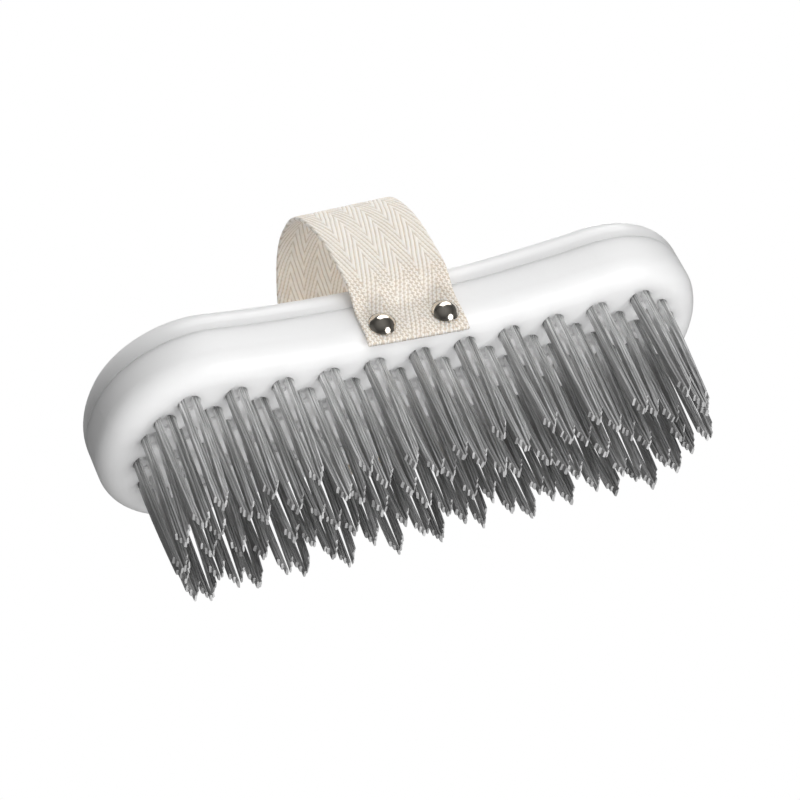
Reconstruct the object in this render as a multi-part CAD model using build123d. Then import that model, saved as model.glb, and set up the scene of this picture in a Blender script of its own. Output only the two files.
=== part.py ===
from build123d import *
from math import atan2, copysign, cos, degrees, hypot, radians, sin, sqrt, tan
import os

# Undercoat rake: a waisted plastic block with a hollow back cover, tufts of folded flat steel
# wire set in its face, and a webbing hand strap pinned to its two long sides.
#
# Millimetres. X runs along the block, Y across it, and +Z points out of its back. The wires point
# down and the longest tips touch Z = 0; the origin lies under the middle of the block.

# Block outline, seen from above
BODY_LENGTH = 199.2
BODY_WIDTH = 74.6  # across the two wide ends
WAIST_WIDTH = 63.4  # across the middle
NOSE_RADIUS = 48.0  # the flatter arc that closes each end
CORNER_RADIUS = 32.4  # the arcs between the nose and the long sides

# Block heights
BASE_THICKNESS = 15.2  # wire face to parting line
COVER_THICKNESS = 10.2  # parting line to the flat back
FACE_EDGE_RADIUS = 7.6
BACK_EDGE_RADIUS = 7.8
SEAM_CHAMFER = 0.3
COVER_WALL = 2.6
SPIGOT_HEIGHT = 1.8
SPIGOT_CLEARANCE = 0.2
RIB_THICKNESS = 1.8
RIB_CLEARANCE = 0.2
RIB_SPACING = 36.0
RIB_COUNT = 5

# Tuft pattern
ROW_COUNT = 7
MIDDLE_ROW = 4
FULL_ROW_TUFTS = 11
TUFT_PITCH = 14.8
ROW_PITCH = 7.1  # at the waist
ROW_FLARE_WIDTH = 2.7  # how much further out the side rows lie at FLARE_LENGTH from the middle
FLARE_LENGTH = 74.0
END_TUFT_MARGIN = 13.0  # end of the block to the last tuft of the middle row
END_TUFT_RADIUS = 30.6  # arc on which the last tufts of all the rows lie
END_GAP_LIMIT = 1.3  # a longer gap, in pitches, takes one more tuft before the last one
WIRE_LEAN_X = 2.7  # degrees, tips towards -X
WIRE_LEAN_Y = 0.5  # degrees, tips towards +Y

# Folded wires
WIRE_THICKNESS = 0.68
WIRE_WIDTH = 2.7
WIRE_REACH = 40.5  # face to the tips of the innermost wires
LAYER_NAMES = ("inner", "middle", "outer")
LAYER_STEP = 2.0  # each layer out ends this much higher
LAYER_CLEARANCE = 0.05
HOLE_DEPTH = 9.4
HOLE_CLEARANCE = 0.12
HOLE_FLOOR_CLEARANCE = 0.2
HOLE_RUN_OUT = 1.0  # how far the cut goes past the wire face

# Tuft anchors
ANCHOR_DIAMETER = 1.9
ANCHOR_CLEARANCE = 0.08
ANCHOR_BITE = 0.6  # how far each end reaches into the wall of the hole

# Hand strap
STRAP_WIDTH = 32.2
STRAP_THICKNESS = 1.5
STRAP_SHIFT = 1.9  # from the middle of the block towards -X
STRAP_CLEARANCE = 0.3  # strap to wall, all along its seat
STRAP_END_DROP = 0.4  # wire face down to the cut end
STRAP_LIFT_HEIGHT = 11.0  # where the strap leaves the wall
STRAP_LIFT_RADIUS = 5.5
STRAP_BULGE_OVERHANG = 0.3  # where the arch is widest, beyond the wide ends of the block
STRAP_BULGE_HEIGHT = 18.8
STRAP_TURN_INSET = 1.6  # where the arch turns in, inside the wide ends
STRAP_TURN_HEIGHT = 42.3
STRAP_HAUNCH_INSET = 13.0  # below the crown, inside the wide ends
STRAP_HAUNCH_HEIGHT = 62.1
STRAP_CROWN_HEIGHT = 70.6
BEND_SHARE = 0.45  # of the shorter run that a bend takes up

# Strap rivets
RIVET_SPACING = 19.9
RIVET_SHIFT = 1.5  # middle of each pair, from the middle of the block towards -X
RIVET_HEIGHT = 5.2  # wire face to the rivet axis
CAP_DIAMETER = 8.5
CAP_HEIGHT = 2.5
CAP_WALL = 0.5
PIN_DIAMETER = 2.6
PIN_ENGAGEMENT = 6.0  # length inside the block
PIN_POINT = 1.4
PIN_HEAD_DIAMETER = 5.2
PIN_HEAD_THICKNESS = 0.8
PIN_CLEARANCE = 0.06

# Levels and shapes that follow from the sizes above
INNER_BEND_RADIUS = ANCHOR_DIAMETER / 2 + ANCHOR_CLEARANCE
LEAN_X = radians(WIRE_LEAN_X)
LEAN_Y = radians(WIRE_LEAN_Y)
TIP_DROP = (INNER_BEND_RADIUS + WIRE_THICKNESS) * sin(LEAN_X) + WIRE_WIDTH / 2 * sin(LEAN_Y)
FACE_Z = WIRE_REACH * cos(LEAN_X) * cos(LEAN_Y) + TIP_DROP
SEAM_Z = FACE_Z + BASE_THICKNESS
WAIST_HALF = WAIST_WIDTH / 2
LAYER_PITCH = WIRE_THICKNESS + LAYER_CLEARANCE
TUFT_HALF_WIDTH = INNER_BEND_RADIUS + len(LAYER_NAMES) * LAYER_PITCH - LAYER_CLEARANCE
HOLE_DIAMETER = 2 * (hypot(TUFT_HALF_WIDTH, WIRE_WIDTH / 2) + HOLE_CLEARANCE)
BEND_HEIGHT = HOLE_DEPTH - HOLE_FLOOR_CLEARANCE - TUFT_HALF_WIDTH
STRAP_SEAT_Y = WAIST_HALF + STRAP_CLEARANCE + STRAP_THICKNESS / 2
STRAP_FACE_Y = STRAP_SEAT_Y + STRAP_THICKNESS / 2

NOSE_X = BODY_LENGTH / 2 - NOSE_RADIUS
CORNER_Y = BODY_WIDTH / 2 - CORNER_RADIUS
CORNER_X = NOSE_X + sqrt((NOSE_RADIUS - CORNER_RADIUS) ** 2 - CORNER_Y**2)
SIDE_RADIUS = (CORNER_X**2 + (WAIST_HALF - CORNER_Y) ** 2 - CORNER_RADIUS**2) / (
    2 * (CORNER_RADIUS + CORNER_Y - WAIST_HALF)
)
SIDE_Y = WAIST_HALF + SIDE_RADIUS


def block_outline(inset, height):
    """Waisted outline of the block at one height, moved inward by inset."""
    nose_angle = degrees(atan2(CORNER_Y, CORNER_X - NOSE_X))
    side_angle = degrees(atan2(CORNER_X, SIDE_Y - CORNER_Y))
    corner_sweep = 90 + side_angle - nose_angle
    corner_radius = CORNER_RADIUS - inset
    half = [
        CenterArc((CORNER_X, -CORNER_Y), corner_radius, -90 - side_angle, corner_sweep),
        CenterArc((NOSE_X, 0), NOSE_RADIUS - inset, -nose_angle, 2 * nose_angle),
        CenterArc((CORNER_X, CORNER_Y), corner_radius, nose_angle, corner_sweep),
        CenterArc((0, SIDE_Y), SIDE_RADIUS + inset, side_angle - 90, -2 * side_angle),
    ]
    other_half = [edge.rotate(Axis.Z, 180) for edge in half]
    return Pos(0, 0, height) * Face(Wire(half + other_half))


def row_tufts(row):
    """Centres of the tufts of one row on the wire face."""
    count = FULL_ROW_TUFTS - 1 if row % 2 == 0 else FULL_ROW_TUFTS
    columns = [(index - (count - 1) / 2) * TUFT_PITCH for index in range(count)]
    last = columns[-1]
    end = end_column(row)
    if end - last > END_GAP_LIMIT * TUFT_PITCH:
        columns += [-(last + end) / 2, (last + end) / 2]
    if end - last > TUFT_PITCH / 2:
        columns += [-end, end]
    return [(x, row_offset(row, x)) for x in columns]


def row_offset(row, x):
    """Y of a row at x; the side rows follow the waist, the middle row is straight."""
    steps = row - MIDDLE_ROW
    if steps == 0:
        return 0.0
    return steps * ROW_PITCH + copysign(ROW_FLARE_WIDTH * (x / FLARE_LENGTH) ** 2, steps)


def end_column(row):
    """X of the last tuft of a row, on an arc inside the round end."""
    centre = BODY_LENGTH / 2 - END_TUFT_MARGIN - END_TUFT_RADIUS
    x = centre + END_TUFT_RADIUS
    for _ in range(20):
        x = centre + sqrt(END_TUFT_RADIUS**2 - row_offset(row, x) ** 2)
    return x


def tuft_places(row):
    """One location for each tuft of a row, with -Z along its wires."""
    return [Location((x, y, FACE_Z), (WIRE_LEAN_Y, WIRE_LEAN_X, 0)) for x, y in row_tufts(row)]


def all_tuft_places():
    return [place for row in range(1, ROW_COUNT + 1) for place in tuft_places(row)]


def hairpin(layer):
    """One folded flat wire, with its bend up and its two legs down."""
    inner = INNER_BEND_RADIUS + layer * LAYER_PITCH
    outer = inner + WIRE_THICKNESS
    tip = layer * LAYER_STEP - WIRE_REACH
    edges = [
        Line((outer, tip), (outer, BEND_HEIGHT)),
        CenterArc((0, BEND_HEIGHT), outer, 0, 180),
        Line((-outer, BEND_HEIGHT), (-outer, tip)),
        Line((-outer, tip), (-inner, tip)),
        Line((-inner, tip), (-inner, BEND_HEIGHT)),
        CenterArc((0, BEND_HEIGHT), inner, 180, -180),
        Line((inner, BEND_HEIGHT), (inner, tip)),
        Line((inner, tip), (outer, tip)),
    ]
    flat = Plane.XZ * Face(Wire(edges))
    return extrude(flat, WIRE_WIDTH / 2, both=True)


def anchor(growth):
    """Pin across the bottom of a tuft, or the pocket for it when growth is above zero."""
    length = HOLE_DIAMETER + 2 * ANCHOR_BITE + growth
    across = Pos(0, 0, BEND_HEIGHT) * Rot(90, 0, 0)
    return across * Cylinder(ANCHOR_DIAMETER / 2 + growth / 2, length)


def tuft_hole():
    """Blind hole for one tuft, with the pocket that its anchor pin bites into."""
    depth = HOLE_DEPTH + HOLE_RUN_OUT
    bore = Pos(0, 0, (HOLE_DEPTH - HOLE_RUN_OUT) / 2) * Cylinder(HOLE_DIAMETER / 2, depth)
    return bore + anchor(ANCHOR_CLEARANCE)


def rivet_places(side):
    """Rivet axes on one long side, with +Z out of the block; side is -1 near, +1 far."""
    places = []
    for end in (-1, 1):
        x = end * RIVET_SPACING / 2 - RIVET_SHIFT
        origin = (x, side * STRAP_FACE_Y, FACE_Z + RIVET_HEIGHT)
        places.append(Location(Plane(origin=origin, x_dir=(1, 0, 0), z_dir=(0, side, 0))))
    return places


def rivet_cap():
    """Hollow dome that covers the head of a pin."""

    def dome(radius, height):
        profile = [
            Line((0, 0), (radius, 0)),
            ThreePointArc((radius, 0), dome_middle(radius, height), (0, height)),
            Line((0, height), (0, 0)),
        ]
        return revolve(Plane.XZ * Face(Wire(profile)), Axis.Z)

    return dome(CAP_DIAMETER / 2, CAP_HEIGHT) - dome(CAP_DIAMETER / 2 - CAP_WALL, CAP_HEIGHT - CAP_WALL)


def dome_middle(radius, height):
    """Middle point of the arc from the rim to the top of a dome."""
    sphere = (radius**2 + height**2) / (2 * height)
    half_angle = atan2(radius, sphere - height) / 2
    return (sphere * sin(half_angle), height - sphere * (1 - cos(half_angle)))


def rivet_pin():
    """Headed pin with a pointed end, seated on the strap and driven into the block."""
    radius = PIN_DIAMETER / 2
    tip = -(STRAP_THICKNESS + STRAP_CLEARANCE + PIN_ENGAGEMENT)
    profile = Polyline(
        (0, PIN_HEAD_THICKNESS),
        (PIN_HEAD_DIAMETER / 2, PIN_HEAD_THICKNESS),
        (PIN_HEAD_DIAMETER / 2, 0),
        (radius, 0),
        (radius, tip + PIN_POINT),
        (0, tip),
        close=True,
    )
    return revolve(Plane.XZ * make_face(profile), Axis.Z)


def pin_bores(depth):
    """Round cuts along all four rivet axes, from the strap face inward."""
    radius = PIN_DIAMETER / 2 + PIN_CLEARANCE
    cut = Pos(0, 0, -depth / 2) * Cylinder(radius, depth)
    return [place * cut for side in (-1, 1) for place in rivet_places(side)]


def make_tuft_block():
    body = extrude(block_outline(0, FACE_Z), BASE_THICKNESS, dir=(0, 0, 1))
    body = fillet(body.edges().group_by(Axis.Z)[0], FACE_EDGE_RADIUS)
    body = chamfer(body.edges().group_by(Axis.Z)[-1], SEAM_CHAMFER)
    spigot = block_outline(COVER_WALL + SPIGOT_CLEARANCE, SEAM_Z)
    body += extrude(spigot, SPIGOT_HEIGHT, dir=(0, 0, 1))
    hole = tuft_hole()
    body -= [place * hole for place in all_tuft_places()]
    bore_depth = STRAP_THICKNESS + STRAP_CLEARANCE + PIN_ENGAGEMENT + PIN_CLEARANCE
    return body - pin_bores(bore_depth)


def make_back_cover():
    shell = extrude(block_outline(0, SEAM_Z), COVER_THICKNESS, dir=(0, 0, 1))
    shell = fillet(shell.edges().group_by(Axis.Z)[-1], BACK_EDGE_RADIUS)
    shell = chamfer(shell.edges().group_by(Axis.Z)[0], SEAM_CHAMFER)
    cavity_height = COVER_THICKNESS - COVER_WALL
    cavity = extrude(block_outline(COVER_WALL, SEAM_Z), cavity_height, dir=(0, 0, 1))
    cavity = fillet(cavity.edges().group_by(Axis.Z)[-1], BACK_EDGE_RADIUS - COVER_WALL)
    rib_bottom = SPIGOT_HEIGHT + RIB_CLEARANCE
    rib_height = cavity_height - rib_bottom
    rib_z = SEAM_Z + rib_bottom + rib_height / 2
    ribs = [Pos(0, 0, rib_z) * Box(BODY_LENGTH, RIB_THICKNESS, rib_height)]
    for index in range(RIB_COUNT):
        rib_x = (index - (RIB_COUNT - 1) / 2) * RIB_SPACING
        ribs.append(Pos(rib_x, 0, rib_z) * Box(RIB_THICKNESS, BODY_WIDTH, rib_height))
    return shell - (cavity - ribs)


def strap_route():
    """Control points of the middle of the webbing, as (Y, Z), from the near end to the far end."""
    wide_end = BODY_WIDTH / 2
    rise = [
        (STRAP_SEAT_Y, -STRAP_END_DROP),
        (STRAP_SEAT_Y, STRAP_LIFT_HEIGHT),
        (wide_end + STRAP_BULGE_OVERHANG, STRAP_BULGE_HEIGHT),
        (wide_end - STRAP_TURN_INSET, STRAP_TURN_HEIGHT),
        (wide_end - STRAP_HAUNCH_INSET, STRAP_HAUNCH_HEIGHT),
    ]
    near = [(-y, FACE_Z + z) for y, z in rise]
    far = [(y, FACE_Z + z) for y, z in reversed(rise)]
    return near + [(0, FACE_Z + STRAP_CROWN_HEIGHT)] + far


def bend_radii(route):
    """Radius of each bend of the route, as large as its shorter run allows."""
    radii = []
    for before, corner, after in zip(route, route[1:], route[2:]):
        run_in = Vector(*corner) - Vector(*before)
        run_out = Vector(*after) - Vector(*corner)
        shorter = min(run_in.length, run_out.length)
        radii.append(BEND_SHARE * shorter / tan(radians(run_in.get_angle(run_out) / 2)))
    radii[0] = min(radii[0], STRAP_LIFT_RADIUS)
    radii[-1] = min(radii[-1], STRAP_LIFT_RADIUS)
    return radii


def make_hand_strap():
    route = strap_route()
    path = Plane.YZ * FilletPolyline(*route, radius=bend_radii(route))
    start = Pos(-STRAP_SHIFT, *route[0]) * Rectangle(STRAP_WIDTH, STRAP_THICKNESS)
    path = Pos(-STRAP_SHIFT, 0, 0) * path
    strap = sweep(start, path)
    wall_start = block_outline(-STRAP_CLEARANCE, FACE_Z - 2 * STRAP_END_DROP)
    wall = extrude(wall_start, BASE_THICKNESS, dir=(0, 0, 1))
    print(f"strap length {path.length:.1f} mm")
    return strap - wall - pin_bores(STRAP_THICKNESS)


def write(name, solids):
    """Write one node as a STEP file; a list of solids becomes a group."""
    group = Compound(children=solids) if isinstance(solids, list) else solids
    group.label = name
    export_step(group, f"parts/{name}.step")


def main():
    os.makedirs("parts", exist_ok=True)
    write("tuft_block", make_tuft_block())
    write("back_cover", make_back_cover())
    write("hand_strap", make_hand_strap())
    cap = rivet_cap()
    pin = rivet_pin()
    for side_name, side in (("near", -1), ("far", 1)):
        write(f"{side_name}_rivet_caps", [place * cap for place in rivet_places(side)])
        write(f"{side_name}_rivet_pins", [place * pin for place in rivet_places(side)])
    wires = [hairpin(layer) for layer in range(len(LAYER_NAMES))]
    tuft_anchor = anchor(0)
    for row in range(1, ROW_COUNT + 1):
        places = tuft_places(row)
        for layer_name, wire in zip(LAYER_NAMES, wires):
            write(f"row_{row}_{layer_name}_wires", [place * wire for place in places])
        write(f"row_{row}_tuft_anchors", [place * tuft_anchor for place in places])


main()
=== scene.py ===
import math
import random

import bpy
import numpy as np
from mathutils import Matrix, Vector


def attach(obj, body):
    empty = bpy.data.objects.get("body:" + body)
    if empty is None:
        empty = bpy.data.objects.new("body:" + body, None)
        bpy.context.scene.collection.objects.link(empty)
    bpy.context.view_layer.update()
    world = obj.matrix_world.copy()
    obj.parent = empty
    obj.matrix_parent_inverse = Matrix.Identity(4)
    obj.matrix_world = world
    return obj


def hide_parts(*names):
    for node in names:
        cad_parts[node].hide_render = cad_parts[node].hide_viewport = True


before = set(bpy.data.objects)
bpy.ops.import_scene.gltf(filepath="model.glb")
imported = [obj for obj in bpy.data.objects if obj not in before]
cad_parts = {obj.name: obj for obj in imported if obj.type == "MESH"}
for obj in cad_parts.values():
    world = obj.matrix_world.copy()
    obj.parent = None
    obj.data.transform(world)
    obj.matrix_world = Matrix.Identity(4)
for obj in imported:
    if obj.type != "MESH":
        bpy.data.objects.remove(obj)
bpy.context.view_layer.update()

MM = 0.001

# Lengths are in millimetres unless a comment says otherwise.

# Camera: place from the middle of the wire face, degrees, and pixels of an 800 pixel wide image
CAMERA_PLACE = (-289.31, -692.12, -486.99)
CAMERA_AZIMUTH = 22.867
CAMERA_ELEVATION = 33.329
CAMERA_ROLL = 26.432
CAMERA_FOCAL = 2901.0
CAMERA_SHIFT = (10.44, -20.03)
IMAGE_WIDTH = 800
SENSOR_WIDTH = 36.0

# Block
BODY_LENGTH = 199.2
BODY_WIDTH = 74.6
WAIST_WIDTH = 63.4
NOSE_RADIUS = 48.0
CORNER_RADIUS = 32.4

# Tuft pattern
ROW_COUNT = 7
MIDDLE_ROW = 4
FULL_ROW_TUFTS = 11
TUFT_PITCH = 14.8
ROW_PITCH = 7.1
ROW_FLARE_WIDTH = 2.7  # how much further out the side rows lie at FLARE_LENGTH from the middle
FLARE_LENGTH = 74.0
END_TUFT_MARGIN = 13.0
END_TUFT_RADIUS = 30.6
END_COLUMN_STEPS = 20
END_GAP_LIMIT = 1.3  # a longer gap, in pitches, takes one more tuft before the last one
WIRE_LEAN_X = 2.7  # degrees, tips towards -X
WIRE_LEAN_Y = 0.5  # degrees, tips towards +Y

# Folded wires
LAYERS = ("inner", "middle", "outer")
WIRE_THICKNESS = 0.68
WIRE_WIDTH = 2.7
WIRE_REACH = 40.5
LAYER_PITCH = 0.73
INNER_BEND_RADIUS = 1.03
BEND_HEIGHT = 5.98  # wire face up to the middle of the fold
BEND_STEPS = 8
LAYER_SHORTER = (0.0, 1.9, 3.5)  # how much shorter than the innermost wire each layer ends
LEG_ORDER = ((2, -1), (1, -1), (0, -1), (0, 1), (1, 1), (2, 1))  # layer and side, along X
MIDDLE_INDEX = 2  # the gap between the two innermost legs
LEG_STATIONS = (0.0, 0.12, 0.3, 0.48, 0.64, 0.78, 0.9, 1.0)  # shares of a leg's length
SECTION = [
    (-0.5, -0.41),
    (-0.33, -0.475),
    (0.0, -0.5),
    (0.33, -0.475),
    (0.5, -0.41),
    (0.5, 0.41),
    (0.33, 0.475),
    (0.0, 0.5),
    (-0.33, 0.475),
    (-0.5, 0.41),
]  # shares of the thickness, from the inner side out, and of the width
INNER_SIDE = -0.4  # points of the section below this share lie on the inner side

# Scatter of the tufts and of their legs
TUFT_SEED = 11
TUFT_SWAY = 0.9  # tips of a whole tuft, either way
TUFT_TWIST = 0.12  # radians
TUFT_SHORTER = 3.2
SHORTER_BIAS = 1.5  # above 1, most tufts stay near their full length
TUFT_UNEVEN = 0.8  # half of what the legs on one side may lack
LEG_GAP = (0.03, 0.15)
MIDDLE_GAP = (0.1, 0.8)
TIP_SHIFT = 0.3
LEG_SHORTER = 0.5
LEG_SWAY = 0.3
LEG_TWIST = 0.07  # radians
LEG_CURVE = 1.5  # above 1, a leg bends more towards its tip
TWIST_CURVE = 1.6
CUT_ACROSS = (0.0, 0.7)  # rise of a sheared end over the thickness
CUT_ALONG = (-0.6, 0.1)  # rise of a sheared end over the width
BRIGHT_ROOT = 14.0  # how far down the inner sides of the innermost legs carry a painted reflection of the white face, at full tone
LEG_TONE = 0.75  # tone of the brightest of the other sides

# Lumpy plastic at the root of each tuft, inside its hole
COLLAR_RADIUS = 3.56
COLLAR_DEPTH = 1.5
COLLAR_LUMP = 0.16
COLLAR_SAG = 0.25
COLLAR_HUB = 0.02  # innermost ring, as a share of the radius
COLLAR_RINGS = 5
COLLAR_SEGMENTS = 28

# Hand strap: route of the middle of the webbing, as (out from the block's middle, up from the face)
STRAP_WIDTH = 32.2
STRAP_THICKNESS = 1.5
STRAP_SHIFT = 1.9  # from the middle of the block towards -X
STRAP_SEAT_Y = 32.75
STRAP_END_DROP = 0.4  # wire face down to the cut end
STRAP_ROUTE = (
    (STRAP_SEAT_Y, -STRAP_END_DROP),
    (STRAP_SEAT_Y, 11.0),
    (37.6, 18.8),
    (35.7, 42.3),
    (24.3, 62.1),
    (0.0, 70.6),
)
STRAP_LIFT_RADIUS = 5.5
BEND_SHARE = 0.45  # of the shorter run that a bend takes up
ARC_STEPS = 16
LENGTH_STEP = 0.35
WIDTH_STEPS = 190

# Weave of the webbing
COLUMN_WIDTH = 4.6
RIB_PITCH = 1.34
RIB_RISE = 3.6  # run along the webbing for each millimetre across
RIB_ROUNDNESS = 0.6  # power of the rib's wave
FLOAT_PITCH = 1.3
RELIEF = 0.2
SELVEDGE = 0.7
SELVEDGE_SHARE = 0.25  # of the thickness that is left at the very edge
DOTS_LENGTH = 19.0  # cut end to where the dotted weave begins to fade
DOTS_FADE = 7.0

# How the webbing lies: its cut ends, the wall behind its seats and its far side
END_TUCK = 1.3
END_TUCK_LENGTH = 5.0
END_HANG = 0.5
END_SLANT = 0.062  # drop of the near cut end for each millimetre across
END_SLANT_LENGTH = 14.0
SEAT_LENGTH = 11.0
SEAT_FADE = 10.0
WALL_FOLLOW = 0.55  # share of the wall's curve that the seats take up
FAR_DRIFT = 1.5
DRIFT_CURVE = 1.5
FAR_BOW = 1.7
FAR_BOW_PLACE = 0.82  # share of the webbing's length
FAR_BOW_SPREAD = 0.12  # share of the webbing's length

# Strap rivets
RIVET_SPACING = 19.9
RIVET_SHIFT = 1.5
RIVET_HEIGHT = 5.2
CAP_DIAMETER = 8.5
CAP_HEIGHT = 2.5
CAP_SEGMENTS = 72
DOME_STEPS = 24
DOME_SHARE = 0.985  # of the dome's half angle, which leaves room for the rim
CAP_SPREAD = 0.2  # how much further out from the middle of its pair each cap sits
CAP_SKEW = 0.25  # how much lower the +X cap of a pair sits, and how much higher the other
CAP_DENT = 0.32
DENT_RADIUS = 5.2
DENT_EDGE = 4  # power that keeps the dent's floor flat and its edge short

# Studio, in metres
LIT_POINT = (0, 0, 0.05)
AMBIENT = 0.085  # strength of the world's light
FLOOR_HALF = 1.5
FLOOR_DROP = 0.0004
TENT_HALF = 1.9
TENT_FRONT = -1.3
TENT_BACK = 1.5

LEAN_X = math.radians(WIRE_LEAN_X)
LEAN_Y = math.radians(WIRE_LEAN_Y)
TIP_DROP = (INNER_BEND_RADIUS + WIRE_THICKNESS) * math.sin(LEAN_X) + WIRE_WIDTH / 2 * math.sin(LEAN_Y)
FACE_Z = WIRE_REACH * math.cos(LEAN_X) * math.cos(LEAN_Y) + TIP_DROP
WAIST_HALF = WAIST_WIDTH / 2
NOSE_X = BODY_LENGTH / 2 - NOSE_RADIUS
CORNER_Y = BODY_WIDTH / 2 - CORNER_RADIUS
CORNER_X = NOSE_X + math.sqrt((NOSE_RADIUS - CORNER_RADIUS) ** 2 - CORNER_Y**2)
SIDE_RADIUS = (CORNER_X**2 + (WAIST_HALF - CORNER_Y) ** 2 - CORNER_RADIUS**2) / (
    2 * (CORNER_RADIUS + CORNER_Y - WAIST_HALF)
)


# ---------------------------------------------------------------- helpers


def new_object(name, vertices, faces, smooth=True):
    """Mesh object from millimetre vertices, riding on the root body."""
    mesh = bpy.data.meshes.new(name)
    mesh.from_pydata([tuple(c * MM for c in v) for v in vertices], [], faces)
    mesh.update()
    mesh.polygons.foreach_set("use_smooth", [smooth] * len(mesh.polygons))
    piece = bpy.data.objects.new(name, mesh)
    bpy.context.scene.collection.objects.link(piece)
    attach(piece, "root")
    return piece


class Nodes:
    """Small wrapper that builds a material's node tree."""

    def __init__(self, name):
        self.material = bpy.data.materials.new(name)
        self.material.use_nodes = True
        self.tree = self.material.node_tree
        self.shader = self.tree.nodes["Principled BSDF"]
        self.output = self.tree.nodes["Material Output"]

    def add(self, kind, inputs=None, **settings):
        node = self.tree.nodes.new(kind)
        for key, value in settings.items():
            setattr(node, key, value)
        for key, value in (inputs or {}).items():
            self.put(value, node.inputs[key])
        return node

    def put(self, value, socket):
        if isinstance(value, bpy.types.NodeSocket):
            self.tree.links.new(value, socket)
        else:
            socket.default_value = value

    def set(self, **inputs):
        for key, value in inputs.items():
            self.put(value, self.shader.inputs[key.replace("_", " ")])

    def math(self, operation, a, b=0.0):
        node = self.add("ShaderNodeMath", operation=operation)
        self.put(a, node.inputs[0])
        self.put(b, node.inputs[1])
        return node.outputs[0]

    def wave(self, turns):
        """Smooth wave from 0 to 1 that repeats once a turn."""
        turned = self.math("COSINE", self.math("MULTIPLY", turns, 2 * math.pi))
        return self.math("ADD", self.math("MULTIPLY", turned, 0.5), 0.5)

    def coordinates(self, scale=(1, 1, 1)):
        base = self.add("ShaderNodeTexCoord").outputs["Object"]
        return self.add("ShaderNodeMapping", {"Vector": base, "Scale": scale}).outputs[0]

    def noise(self, scale, detail=4.0, roughness=0.5, vector=None):
        inputs = {"Scale": scale, "Detail": detail, "Roughness": roughness}
        if vector is not None:
            inputs["Vector"] = vector
        return self.add("ShaderNodeTexNoise", inputs).outputs["Fac"]

    def ramp(self, value, *stops):
        node = self.add("ShaderNodeValToRGB", {"Fac": value})
        elements = node.color_ramp.elements
        while len(elements) < len(stops):
            elements.new(0.5)
        for element, (position, colour) in zip(elements, stops):
            element.position = position
            grey = isinstance(colour, (int, float))
            element.color = (colour, colour, colour, 1) if grey else (*colour, 1)
        return node.outputs["Color"]

    def multiply(self, colour, factor):
        """Product of two colours, through the colour sockets of a Mix node."""
        node = self.add("ShaderNodeMix", data_type="RGBA", blend_type="MULTIPLY")
        node.inputs["Factor"].default_value = 1.0
        self.put(colour, node.inputs[6])
        self.put(factor, node.inputs[7])
        return node.outputs[2]

    def bump(self, height, strength, distance):
        inputs = {"Height": height, "Strength": strength, "Distance": distance}
        self.set(Normal=self.add("ShaderNodeBump", inputs).outputs["Normal"])


# ---------------------------------------------------------------- materials


def plastic_material():
    """Glossy white moulded plastic with a faint orange peel and fine handling marks."""
    m = Nodes("white_moulded_plastic")
    vector = m.coordinates()
    cloud = m.noise(18.0, 3.0, vector=vector)
    peel = m.noise(900.0, 2.0, vector=vector)
    scuff = m.noise(60.0, 8.0, 0.7, m.coordinates((1.0, 6.0, 2.0)))
    m.set(
        Base_Color=m.ramp(cloud, (0.3, (0.87, 0.87, 0.87)), (0.7, (0.89, 0.89, 0.89))),
        Roughness=m.ramp(scuff, (0.35, 0.3), (0.7, 0.38)),
        Subsurface_Weight=0.7,
        Subsurface_Scale=0.006,
        Subsurface_Radius=(1.0, 1.0, 1.0),
    )
    m.bump(peel, 0.05, 0.0003)
    return m.material


def wire_material():
    """Rolled steel strip, streaked along its length; its colour is painted bright near the block, a
    painted reflection of the white face there, and dull at the tips.
    """
    m = Nodes("rolled_steel_wire")
    streak = m.noise(2600.0, 4.0, 0.6, m.coordinates((1.0, 1.0, 0.02)))
    blotch = m.noise(140.0, 3.0, 0.5, m.coordinates((1.0, 1.0, 0.25)))
    place = m.add("ShaderNodeTexCoord").outputs["Object"]
    height = m.add("ShaderNodeSeparateXYZ", {"Vector": place}).outputs["Z"]
    rise = m.math("DIVIDE", height, FACE_Z * MM)
    # Painted reflection: height above the tips lifts the base colour towards the block, standing in for
    # the white face mirrored near the roots; random blotches are mixed in, and the same value lowers the
    # metallic share there.
    painted_root_sheen_and_blotch = m.math("ADD", rise, m.math("MULTIPLY", m.math("SUBTRACT", blotch, 0.5), 0.35))
    base = m.ramp(painted_root_sheen_and_blotch, (0.05, 0.84), (0.4, 0.84), (0.7, 0.96), (0.95, 1.0))
    tone = m.add("ShaderNodeAttribute", attribute_name="tone").outputs["Fac"]
    # Painted reflection: full tone on the inner root sides lifts the streaks there to full brightness,
    # standing in for the white face mirrored in them.
    painted_root_band = m.ramp(tone, (0.8, 0.0), (0.95, 1.0))
    shade = m.math("MAXIMUM", m.ramp(streak, (0.38, 0.52), (0.6, 1.0)), painted_root_band)
    leg_shade = m.ramp(tone, (0.0, 0.45), (0.75, 0.95), (1.0, 1.0))
    m.set(
        Base_Color=m.multiply(m.multiply(base, shade), leg_shade),
        Metallic=m.ramp(painted_root_sheen_and_blotch, (0.6, 0.45), (0.95, 0.25)),
        Roughness=m.ramp(streak, (0.3, 0.3), (0.7, 0.44)),
    )
    m.bump(streak, 0.2, 0.0001)
    return m.material


def cut_material():
    """Sheared ends of the wires, some of them dull."""
    m = Nodes("sheared_wire_end")
    tone = m.add("ShaderNodeAttribute", attribute_name="tone").outputs["Fac"]
    grain = m.math("MULTIPLY", m.noise(3000.0, 2.0, vector=m.coordinates()), 0.4)
    m.set(
        Base_Color=m.ramp(m.math("ADD", tone, grain), (0.1, 0.3), (0.5, 0.7), (0.9, 0.85)),
        Metallic=0.2,
        Roughness=0.5,
    )
    return m.material


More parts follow.
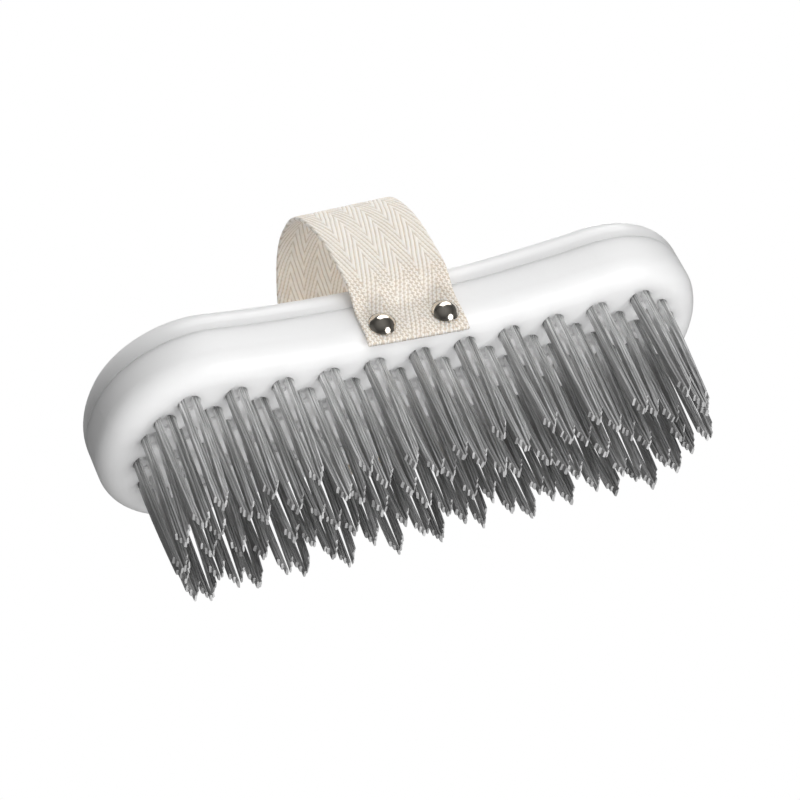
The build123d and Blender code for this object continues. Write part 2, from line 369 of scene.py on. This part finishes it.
def nickel_material():
    """Polished nickel plate with faint polishing lines."""
    m = Nodes("polished_nickel")
    vector = m.coordinates()
    cloud = m.noise(300.0, 3.0, vector=vector)
    lines = m.noise(1800.0, 4.0, vector=vector)
    m.set(
        Base_Color=m.ramp(cloud, (0.3, (0.7, 0.655, 0.58)), (0.7, (0.78, 0.73, 0.65))),
        Metallic=1.0,
        Roughness=m.ramp(lines, (0.3, 0.1), (0.7, 0.17)),
    )
    return m.material


def pin_material():
    """Drawn steel of the anchors and of the rivet pins."""
    m = Nodes("drawn_steel_pin")
    streak = m.noise(1500.0, 3.0, 0.5, m.coordinates((1.0, 0.05, 1.0)))
    m.set(Base_Color=m.ramp(streak, (0.3, 0.4), (0.7, 0.55)), Metallic=1.0, Roughness=0.35)
    return m.material


def webbing_material():
    """Unbleached cotton herringbone: ribs of short floats that turn back at each column."""
    m = Nodes("herringbone_cotton")
    across = m.add("ShaderNodeAttribute", attribute_name="across").outputs["Fac"]
    along = m.add("ShaderNodeAttribute", attribute_name="along").outputs["Fac"]
    vector = m.coordinates()
    wander = m.math("MULTIPLY", m.math("SUBTRACT", m.noise(160.0, 3.0, 0.5, vector), 0.5), 0.5)
    fold = m.math("PINGPONG", across, COLUMN_WIDTH)
    rise = m.math("DIVIDE", along, RIB_RISE)
    rib = m.math("ADD", m.math("DIVIDE", m.math("ADD", fold, rise), RIB_PITCH), wander)
    ridge = m.wave(rib)
    step = m.math("MULTIPLY", m.math("FLOOR", rib), 0.5)
    floats = m.wave(m.math("ADD", m.math("DIVIDE", along, FLOAT_PITCH), step))
    slub = m.noise(900.0, 4.0, 0.6, vector)
    patch = m.noise(60.0, 3.0, 0.5, vector)
    seat = m.add("ShaderNodeAttribute", attribute_name="seat").outputs["Fac"]
    column = m.math("PINGPONG", m.math("FLOOR", m.math("DIVIDE", across, COLUMN_WIDTH)), 1.0)
    dotted = m.math("SUBTRACT", 0.45, m.math("MULTIPLY", column, 0.4))
    depth = m.math("MINIMUM", m.math("ADD", m.math("MULTIPLY", seat, 0.8), dotted), 1.0)
    gap = m.math("MULTIPLY", m.math("POWER", m.math("SUBTRACT", 1.0, floats), 1.6), depth)
    ribs = m.math("POWER", ridge, RIB_ROUNDNESS)
    yarn = m.math("MULTIPLY", ribs, m.math("SUBTRACT", 1.0, gap))
    tone = m.math("ADD", m.math("MULTIPLY", yarn, 0.8), m.math("MULTIPLY", slub, 0.2))
    # Painted shade: the colour ramp darkens the gaps between floats and the flanks of the ribs, where
    # shade falls in the weave, and darkens the gaps more near the cut ends; the same tone also drives the
    # bump.
    painted_gap_shade = (0.66, 0.57, 0.48)
    painted_flank_shade = (0.86, 0.78, 0.69)
    yarn_colour = (0.98, 0.91, 0.84)
    colour = m.ramp(tone, (0.08, painted_gap_shade), (0.3, painted_flank_shade), (0.6, yarn_colour))
    m.set(
        Base_Color=m.multiply(colour, m.ramp(patch, (0.3, 0.94), (0.7, 1.0))),
        Roughness=0.92,
        Sheen_Weight=0.15,
        Sheen_Roughness=0.5,
        Subsurface_Weight=0.5,
        Subsurface_Scale=0.0025,
        Subsurface_Radius=(1.0, 0.85, 0.7),
    )
    m.bump(tone, 0.6, 0.0003)
    return m.material


# ---------------------------------------------------------------- tufts


def row_offset(row, x):
    """Y of one row at x: the side rows flare out towards both ends."""
    steps = row - MIDDLE_ROW
    if steps == 0:
        return 0.0
    return steps * ROW_PITCH + math.copysign(ROW_FLARE_WIDTH * (x / FLARE_LENGTH) ** 2, steps)


def end_column(row):
    """X where the arc of the last tufts meets one row, found by repeated steps."""
    centre = BODY_LENGTH / 2 - END_TUFT_MARGIN - END_TUFT_RADIUS
    x = centre + END_TUFT_RADIUS
    for _ in range(END_COLUMN_STEPS):
        x = centre + math.sqrt(END_TUFT_RADIUS**2 - row_offset(row, x) ** 2)
    return x


def row_tufts(row):
    """Centres of the tufts of one row on the wire face."""
    count = FULL_ROW_TUFTS - 1 if row % 2 == 0 else FULL_ROW_TUFTS
    columns = [(index - (count - 1) / 2) * TUFT_PITCH for index in range(count)]
    last = columns[-1]
    end = end_column(row)
    if end - last > END_GAP_LIMIT * TUFT_PITCH:
        columns += [-(last + end) / 2, (last + end) / 2]
    if end - last > TUFT_PITCH / 2:
        columns += [-end, end]
    return [(x, row_offset(row, x)) for x in columns]


def leg_tips(rng):
    """X of the six leg tips of one tuft, as (layer, side) to place."""
    gap_count = len(LEG_ORDER) - 1
    gaps = [rng.uniform(*(MIDDLE_GAP if index == MIDDLE_INDEX else LEG_GAP)) for index in range(gap_count)]
    x = -(sum(gaps) + gap_count * WIRE_THICKNESS) / 2 + rng.uniform(-TIP_SHIFT, TIP_SHIFT)
    tips = {}
    for (layer, side), gap in zip(LEG_ORDER, gaps + [0.0]):
        tips[layer, side] = x
        x += WIRE_THICKNESS + gap
    return tips


def leg_stations(layer, side, tip_x, tuft, rng):
    """Centre line of one leg as (x, y, z, side, twist, cut), from its bend to its tip."""
    radius = INNER_BEND_RADIUS + layer * LAYER_PITCH + WIRE_THICKNESS / 2
    shorter = LAYER_SHORTER[layer] + tuft["short"] + tuft["uneven"] * (side + 1)
    reach = WIRE_REACH - shorter - rng.uniform(0.0, LEG_SHORTER)
    cut = (rng.uniform(*CUT_ACROSS), rng.uniform(*CUT_ALONG))
    lean_y = tuft["lean_y"] + rng.uniform(-LEG_SWAY, LEG_SWAY)
    own_twist = rng.uniform(-LEG_TWIST, LEG_TWIST)
    leg = []
    for share in LEG_STATIONS:
        z = BEND_HEIGHT * (1 - share) - reach * share
        bent = max(0.0, -z / reach) ** LEG_CURVE
        x = side * radius + (tip_x - side * radius) * bent + tuft["lean_x"] * bent
        twist = (tuft["twist"] + own_twist) * share**TWIST_CURVE
        leg.append((x, lean_y * bent, z, side, twist, cut if share == 1.0 else None))
    return leg


def hairpin_mesh(layer, place, tuft, rng):
    """Vertices, faces, sheared ends and tones of one folded strip."""
    radius = INNER_BEND_RADIUS + layer * LAYER_PITCH + WIRE_THICKNESS / 2
    right = leg_stations(layer, 1, tuft["tips"][layer, 1], tuft, rng)
    left = leg_stations(layer, -1, tuft["tips"][layer, -1], tuft, rng)
    path = list(reversed(right))
    for step in range(1, BEND_STEPS):
        angle = math.pi * step / BEND_STEPS
        x = radius * math.cos(angle)
        path.append((x, 0.0, BEND_HEIGHT + radius * math.sin(angle), None, 0.0, None))
    path += left
    vertices = []
    for x, y, z, side, twist, cut in path:
        if side is None:
            outward = Vector((x, 0, z - BEND_HEIGHT)).normalized()
            across = Vector((0, 1, 0))
        else:
            turn = Matrix.Rotation(twist, 3, "Z")
            outward = turn @ Vector((side, 0, 0))
            across = turn @ Vector((0, 1, 0))
        for u, v in SECTION:
            point = Vector((x, y, z)) + outward * (u * WIRE_THICKNESS) + across * (v * WIRE_WIDTH)
            if cut:
                point.z += cut[0] * (u + 0.5) + cut[1] * (v + 0.5) - min(cut[1], 0.0)
            vertices.append(place @ point)
    count = len(SECTION)
    faces = []
    for ring in range(len(path) - 1):
        a = ring * count
        for k in range(count):
            n = (k + 1) % count
            faces.append((a + k, a + n, a + count + n, a + count + k))
    ends = [tuple(range(count - 1, -1, -1)), tuple(range(a + count, a + 2 * count))]
    tones = []
    middle = len(path) // 2
    for half in (path[:middle], path[middle:]):
        leg_tone = rng.random() * LEG_TONE
        for _, _, z, *_ in half:
            # Painted reflection: the inner sides of the innermost legs near the block get full tone,
            # standing in for the white face mirrored in them.
            bright = layer == 0 and z > -BRIGHT_ROOT
            tones += [1.0 if bright and u < INNER_SIDE else leg_tone for u, _ in SECTION]
    return vertices, faces, ends, tones


def make_collar(place, rng):
    """Plastic squeezed up round the root of one tuft: a shallow dish inside its hole."""
    vertices = []
    for ring in range(COLLAR_RINGS + 1):
        share = ring / COLLAR_RINGS
        radius = COLLAR_RADIUS * max(share, COLLAR_HUB)
        for k in range(COLLAR_SEGMENTS):
            angle = 2 * math.pi * k / COLLAR_SEGMENTS
            lump = rng.uniform(-COLLAR_LUMP, COLLAR_LUMP) if ring < COLLAR_RINGS else 0.0
            point = Vector((math.cos(angle), math.sin(angle), 0)) * radius
            point.z = COLLAR_DEPTH + lump - COLLAR_SAG * share**4
            vertices.append(place @ point)
    faces = []
    for ring in range(COLLAR_RINGS):
        for k in range(COLLAR_SEGMENTS):
            n = (k + 1) % COLLAR_SEGMENTS
            a = ring * COLLAR_SEGMENTS
            b = a + COLLAR_SEGMENTS
            faces.append((a + n, a + k, b + k, b + n))
    faces.append(tuple(range(COLLAR_SEGMENTS)))
    return vertices, faces


def add_mesh(store, vertices, faces, ends=(), tones=()):
    """Append one mesh to the lists of a store."""
    base = len(store["vertices"])
    store["vertices"].extend(vertices)
    store["tones"].extend(tones)
    for key, group in (("faces", faces), ("ends", ends)):
        store[key].extend(tuple(i + base for i in face) for face in group)


def empty_store():
    return {key: [] for key in ("vertices", "faces", "ends", "tones")}


def scattered_tuft(rng):
    """How one tuft differs from a straight one."""
    return {
        "tips": leg_tips(rng),
        "lean_x": rng.uniform(-TUFT_SWAY, TUFT_SWAY),
        "lean_y": rng.uniform(-TUFT_SWAY, TUFT_SWAY),
        "twist": rng.uniform(-TUFT_TWIST, TUFT_TWIST),
        "short": rng.uniform(0.0, 1.0) ** SHORTER_BIAS * TUFT_SHORTER,
        "uneven": rng.uniform(0.0, TUFT_UNEVEN),
    }


def make_tufts(wire, cut, plastic):
    """Wires of each row and layer in place of their solids, and the collars of each row."""
    rng = random.Random(TUFT_SEED)
    meshes = {}
    collars = {}
    for row in range(1, ROW_COUNT + 1):
        collars[row] = empty_store()
        for layer in range(len(LAYERS)):
            meshes[row, layer] = empty_store()
        for x, y in row_tufts(row):
            place = Matrix.Translation((x, y, FACE_Z))
            add_mesh(collars[row], *make_collar(place, rng))
            place = place @ Matrix.Rotation(LEAN_Y, 4, "X") @ Matrix.Rotation(LEAN_X, 4, "Y")
            tuft = scattered_tuft(rng)
            for layer in range(len(LAYERS)):
                add_mesh(meshes[row, layer], *hairpin_mesh(layer, place, tuft, rng))
    for (row, layer), mesh in meshes.items():
        name = f"row_{row}_{LAYERS[layer]}_wires"
        piece = new_object(f"{name}_formed", mesh["vertices"], mesh["faces"] + mesh["ends"], smooth=False)
        piece.data.materials.append(wire)
        piece.data.materials.append(cut)
        slots = [0] * len(mesh["faces"]) + [1] * len(mesh["ends"])
        piece.data.polygons.foreach_set("material_index", slots)
        attribute = piece.data.attributes.new("tone", "FLOAT", "POINT")
        attribute.data.foreach_set("value", mesh["tones"])
        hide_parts(name)
    for row, mesh in collars.items():
        piece = new_object(f"row_{row}_hole_collars", mesh["vertices"], mesh["faces"])
        piece.data.materials.append(plastic)


# ---------------------------------------------------------------- strap


def arc_route(points, lift_radius):
    """Dense points along straight runs joined by tangent arcs."""
    points = [Vector(p) for p in points]
    line = [points[0]]
    for index in range(1, len(points) - 1):
        before, corner, after = points[index - 1 : index + 2]
        run_in = (before - corner).normalized()
        run_out = (after - corner).normalized()
        shorter = min((before - corner).length, (after - corner).length)
        half = run_in.angle(run_out) / 2
        radius = BEND_SHARE * shorter * math.tan(half)
        if index in (1, len(points) - 2):
            radius = min(radius, lift_radius)
        tangent = radius / math.tan(half)
        centre = corner + (run_in + run_out).normalized() * (radius / math.sin(half))
        start = corner + run_in * tangent - centre
        end = corner + run_out * tangent - centre
        sweep = start.angle_signed(end)
        for step in range(ARC_STEPS + 1):
            angle = -sweep * step / ARC_STEPS
            turned = Vector((
                start.x * math.cos(angle) - start.y * math.sin(angle),
                start.x * math.sin(angle) + start.y * math.cos(angle),
            ))
            line.append(centre + turned)
    line.append(points[-1])
    return np.array([tuple(p) for p in line])


def resample(line, spacing):
    """Travel and places of evenly spaced points along a line."""
    steps = np.hypot(*np.diff(line, axis=0).T)
    travel = np.concatenate([[0.0], np.cumsum(steps)])
    count = int(round(travel[-1] / spacing))
    at = np.linspace(0.0, travel[-1], count + 1)
    return at, np.stack([np.interp(at, travel, line[:, k]) for k in range(2)], axis=1)


def weave_height(across, along):
    """Herringbone relief from 0 to 1 at one place on the cloth, in millimetres."""
    fold = np.abs(np.mod(across, 2 * COLUMN_WIDTH) - COLUMN_WIDTH)
    rib = (COLUMN_WIDTH - fold + along / RIB_RISE) / RIB_PITCH
    return (0.5 + 0.5 * np.cos(2 * np.pi * rib)) ** RIB_ROUNDNESS


def wall_growth(x):
    """How much further out the waisted wall lies at x than at the middle."""
    return SIDE_RADIUS - np.sqrt(SIDE_RADIUS**2 - x**2)


def strap_section(width_steps):
    """Places across the webbing, once round its section, and the side that each is on."""
    across = np.linspace(-0.5, 0.5, width_steps) * STRAP_WIDTH
    return np.concatenate([across, across[::-1]]), np.repeat([1.0, -1.0], width_steps)


def strap_vertices(across, sides, travel, centre, normal):
    """Grid of points of the webbing with its weave, selvedges, rivet dents and cut ends."""
    length = travel[-1]
    s = travel[:, None]
    w = across[None, :]
    from_end = np.minimum(s, length - s)
    near = (s < length / 2).astype(float)
    along = s + 0 * w
    relief = weave_height(w + STRAP_WIDTH / 2, along)
    edge = np.clip((STRAP_WIDTH / 2 - np.abs(w)) / SELVEDGE, 0.0, 1.0)
    rounding = SELVEDGE_SHARE + (1 - SELVEDGE_SHARE) * np.sqrt(1 - (1 - edge) ** 2)
    inside = np.clip((STRAP_WIDTH / 2 - np.abs(w)) / (2 * SELVEDGE), 0.0, 1.0)
    half = (STRAP_THICKNESS / 2 - RELIEF * (1 - relief) * inside) * rounding
    share = s / length
    far_bow = FAR_BOW * np.exp(-(((share - FAR_BOW_PLACE) / FAR_BOW_SPREAD) ** 2))
    x = w - STRAP_SHIFT - FAR_DRIFT * share**DRIFT_CURVE - far_bow
    seat = np.clip(1 - (from_end - SEAT_LENGTH) / SEAT_FADE, 0.0, 1.0)
    dent = np.zeros_like(x)
    for end in (-1, 1):
        rivet_x = end * RIVET_SPACING / 2 - RIVET_SHIFT
        away = np.hypot(x - rivet_x, from_end - RIVET_HEIGHT - STRAP_END_DROP)
        dent += CAP_DENT * np.exp(-((away / DENT_RADIUS) ** DENT_EDGE))
    offset = half * sides[None, :] - dent * (sides[None, :] > 0)
    bow = seat * wall_growth(x) * WALL_FOLLOW
    tuck = END_TUCK * np.clip(1 - from_end / END_TUCK_LENGTH, 0.0, 1.0) ** 2
    outward = np.where(near > 0, -1.0, 1.0)
    hang = (END_HANG + END_SLANT * w) * np.clip(1 - from_end / END_SLANT_LENGTH, 0.0, 1.0) * near
    y = centre[:, :1] + normal[:, :1] * offset + outward * (bow - tuck)
    z = centre[:, 1:] + normal[:, 1:] * offset + FACE_Z - hang
    return np.stack([x + 0 * y, y, z], axis=-1), along


def strap_faces(rows, count):
    """Quads of a closed tube with flat caps at both cut ends."""
    grid = np.arange(rows * count).reshape(rows, count)
    a = grid[:-1, :]
    b = np.roll(a, -1, axis=1)
    d = grid[1:, :]
    c = np.roll(d, -1, axis=1)
    faces = np.stack([a, b, c, d], axis=-1).reshape(-1, 4).tolist()
    for base in (0, (rows - 1) * count):
        for k in range(count // 2 - 1):
            quad = (base + k, base + k + 1, base + count - 2 - k, base + count - 1 - k)
            faces.append(quad if base else quad[::-1])
    return faces


def make_strap(material):
    """Webbing in place of its solid, with the attributes that its material reads."""
    near = [(-y, z) for y, z in STRAP_ROUTE]
    far = [(y, z) for y, z in STRAP_ROUTE[-2::-1]]
    line = arc_route(near + far, STRAP_LIFT_RADIUS)
    travel, centre = resample(line, LENGTH_STEP)
    tangent = np.gradient(centre, axis=0)
    tangent /= np.linalg.norm(tangent, axis=1)[:, None]
    normal = np.stack([-tangent[:, 1], tangent[:, 0]], axis=1)
    across, sides = strap_section(WIDTH_STEPS)
    points, along = strap_vertices(across, sides, travel, centre, normal)
    faces = strap_faces(len(travel), len(across))
    strap = new_object("webbing_strap", points.reshape(-1, 3).tolist(), faces)
    from_end = np.minimum(along, travel[-1] - along)
    places = {
        "across": np.broadcast_to(across + STRAP_WIDTH / 2, along.shape),
        "along": along,
        "seat": np.clip(1 - (from_end - DOTS_LENGTH) / DOTS_FADE, 0.0, 1.0),
    }
    for name, values in places.items():
        attribute = strap.data.attributes.new(name, "FLOAT", "POINT")
        attribute.data.foreach_set("value", values.ravel().astype(np.float32))
    strap.data.materials.append(material)
    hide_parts("hand_strap")


# ---------------------------------------------------------------- rivets


def cap_profile():
    """Half section of a domed cap with a rolled rim, as (radius, height) pairs."""
    radius = CAP_DIAMETER / 2
    sphere = (radius**2 + CAP_HEIGHT**2) / (2 * CAP_HEIGHT)
    limit = math.asin(radius / sphere)
    dome = []
    for step in range(DOME_STEPS + 1):
        angle = limit * (1 - step / DOME_STEPS) * DOME_SHARE
        dome.append((sphere * math.sin(angle), CAP_HEIGHT - sphere * (1 - math.cos(angle))))
    rim = [(radius - 0.35, 0.0), (radius - 0.08, 0.0), (radius, 0.09), (radius - 0.01, 0.2)]
    return rim + dome


def make_caps(name, side, material):
    """Both caps of one side, in place of their solids."""
    profile = cap_profile()
    vertices = []
    faces = []
    for end in (-1, 1):
        cx = end * (RIVET_SPACING / 2 + CAP_SPREAD) - RIVET_SHIFT
        base = len(vertices)
        for radius, height in profile:
            for k in range(CAP_SEGMENTS):
                angle = 2 * math.pi * k / CAP_SEGMENTS
                vertices.append((
                    cx + radius * math.cos(angle),
                    side * (STRAP_SEAT_Y + STRAP_THICKNESS / 2 + height),
                    FACE_Z + RIVET_HEIGHT - end * CAP_SKEW + radius * math.sin(angle),
                ))
        for ring in range(len(profile) - 1):
            for k in range(CAP_SEGMENTS):
                n = (k + 1) % CAP_SEGMENTS
                a = base + ring * CAP_SEGMENTS
                b = a + CAP_SEGMENTS
                quad = (a + k, a + n, b + n, b + k)
                faces.append(quad if side < 0 else quad[::-1])
    piece = new_object(f"{name}_domed", vertices, faces)
    piece.data.materials.append(material)
    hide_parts(name)


# ---------------------------------------------------------------- stage


def make_camera():
    """The photograph's view, matched to the outline of the block and to the lattice of tufts."""
    azimuth = math.radians(CAMERA_AZIMUTH)
    elevation = math.radians(CAMERA_ELEVATION)
    roll = math.radians(CAMERA_ROLL)
    flat = math.cos(elevation)
    forward = Vector((math.sin(azimuth) * flat, math.cos(azimuth) * flat, math.sin(elevation)))
    right = Vector((math.cos(azimuth), -math.sin(azimuth), 0))
    down = forward.cross(right)
    turned_right = right * math.cos(roll) + down * math.sin(roll)
    turned_down = down * math.cos(roll) - right * math.sin(roll)
    data = bpy.data.cameras.new("camera")
    camera = bpy.data.objects.new("camera", data)
    bpy.context.scene.collection.objects.link(camera)
    rotation = Matrix((turned_right, -turned_down, -forward)).transposed().to_4x4()
    place = (Vector(CAMERA_PLACE) + Vector((0, 0, FACE_Z))) * MM
    camera.matrix_world = Matrix.Translation(place) @ rotation
    data.sensor_width = SENSOR_WIDTH
    data.lens = CAMERA_FOCAL * SENSOR_WIDTH / IMAGE_WIDTH
    data.shift_x = -CAMERA_SHIFT[0] / IMAGE_WIDTH
    data.shift_y = CAMERA_SHIFT[1] / IMAGE_WIDTH
    data.clip_start = 0.01
    data.clip_end = 20.0
    bpy.context.scene.camera = camera


def make_area_light(name, direction, distance, size, power, shape="RECTANGLE", mirrored=True):
    """Soft lamp aimed at the middle of the object; reflections show it if it is mirrored."""
    data = bpy.data.lights.new(name, "AREA")
    data.shape = shape
    data.size, data.size_y = size
    data.energy = power
    lamp = bpy.data.objects.new(name, data)
    bpy.context.scene.collection.objects.link(lamp)
    way = Vector(direction).normalized()
    lamp.location = Vector(LIT_POINT) + way * distance
    lamp.rotation_euler = (-way).to_track_quat("-Z", "Y").to_euler()
    lamp.visible_glossy = mirrored


def make_world():
    """White to the camera, in reflections and through glass; soft grey light otherwise."""
    world = bpy.data.worlds.new("studio")
    bpy.context.scene.world = world
    world.use_nodes = True
    tree = world.node_tree
    background = tree.nodes["Background"]
    path = tree.nodes.new("ShaderNodeLightPath")
    background.inputs["Color"].default_value = (1, 1, 1, 1)
    seen = path.outputs["Is Camera Ray"]
    for kind in ("Is Glossy Ray", "Is Transmission Ray"):
        either = tree.nodes.new("ShaderNodeMath")
        either.operation = "MAXIMUM"
        tree.links.new(seen, either.inputs[0])
        tree.links.new(path.outputs[kind], either.inputs[1])
        seen = either.outputs[0]
    mix = tree.nodes.new("ShaderNodeMix")
    mix.inputs["A"].default_value = AMBIENT
    mix.inputs["B"].default_value = 1.0
    tree.links.new(seen, mix.inputs["Factor"])
    tree.links.new(mix.outputs["Result"], background.inputs["Strength"])


def make_grey_tent():
    """Grey studio walls all round, which only reflections see."""
    square = [(-1, -1), (1, -1), (1, 1), (-1, 1)]
    corners = [(x * TENT_HALF, y, z * TENT_HALF) for y in (TENT_FRONT, TENT_BACK) for x, z in square]
    sides = [(k, (k + 1) % 4, (k + 1) % 4 + 4, k + 4) for k in range(4)]
    mesh = bpy.data.meshes.new("grey_tent")
    mesh.from_pydata(corners, [], [(0, 1, 2, 3), (7, 6, 5, 4)] + sides)
    tent = bpy.data.objects.new("grey_tent", mesh)
    bpy.context.scene.collection.objects.link(tent)
    m = Nodes("grey_cloth")
    m.set(Base_Color=(0.3, 0.3, 0.3, 1), Roughness=0.9)
    mesh.materials.append(m.material)
    tent.visible_camera = False
    tent.visible_diffuse = False
    tent.visible_transmission = False
    tent.visible_shadow = False


def make_floor():
    """Pale floor under the tips that is clear from below, where the photograph looks from."""
    mesh = bpy.data.meshes.new("floor")
    s = FLOOR_HALF
    mesh.from_pydata([(-s, -s, 0), (s, -s, 0), (s, s, 0), (-s, s, 0)], [], [(0, 1, 2, 3)])
    floor = bpy.data.objects.new("floor", mesh)
    bpy.context.scene.collection.objects.link(floor)
    floor.location.z = -FLOOR_DROP
    m = Nodes("pale_floor")
    tree = m.tree
    geometry = m.add("ShaderNodeNewGeometry")
    clear = m.add("ShaderNodeBsdfTransparent")
    mix = m.add("ShaderNodeMixShader")
    m.set(Base_Color=(0.9, 0.9, 0.9, 1), Roughness=0.9)
    tree.links.new(geometry.outputs["Backfacing"], mix.inputs[0])
    tree.links.new(m.shader.outputs[0], mix.inputs[1])
    tree.links.new(clear.outputs[0], mix.inputs[2])
    tree.links.new(mix.outputs[0], m.output.inputs["Surface"])
    mesh.materials.append(m.material)
    floor.visible_diffuse = False
    floor.visible_glossy = False
    floor.visible_transmission = False
    floor.visible_shadow = False


# ---------------------------------------------------------------- assembly

make_camera()
make_world()
make_floor()
make_grey_tent()
make_area_light("upper_softbox", (0.33, -0.45, 0.77), 1.2, (1.2, 0.6), 6.8)
make_area_light("lower_softbox", (0.43, -0.52, -0.72), 1.2, (0.78, 0.78), 4.8, "ELLIPSE")
make_area_light("top_panel", (0.2, -0.1, 1.0), 1.3, (1.2, 1.0), 5.2, mirrored=False)
make_area_light("lower_panel", (-0.05, -0.03, -1.0), 1.3, (0.4, 0.4), 9.2, mirrored=False)
make_area_light("front_panel", (-0.15, -1.0, -0.15), 1.3, (1.2, 1.0), 9.7, mirrored=False)
make_area_light("back_panel", (-0.2, 0.75, 0.65), 1.3, (1.2, 1.0), 12.0, mirrored=False)
make_area_light("back_softbox", (0.4, 0.6, 0.7), 1.2, (0.4, 0.4), 1.5)

plastic = plastic_material()
wire_steel = wire_material()
cut_steel = cut_material()
nickel = nickel_material()
pin_steel = pin_material()

for node in ("tuft_block", "back_cover"):
    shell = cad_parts[node]
    shell.data.materials.clear()
    shell.data.materials.append(plastic)
for node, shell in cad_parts.items():
    if "anchors" in node or "pins" in node:
        shell.data.materials.clear()
        shell.data.materials.append(pin_steel)

make_tufts(wire_steel, cut_steel, plastic)
make_strap(webbing_material())
make_caps("near_rivet_caps", -1, nickel)
make_caps("far_rivet_caps", 1, nickel)

bpy.context.scene.view_settings.view_transform = "Standard"

bpy.context.view_layer.update()
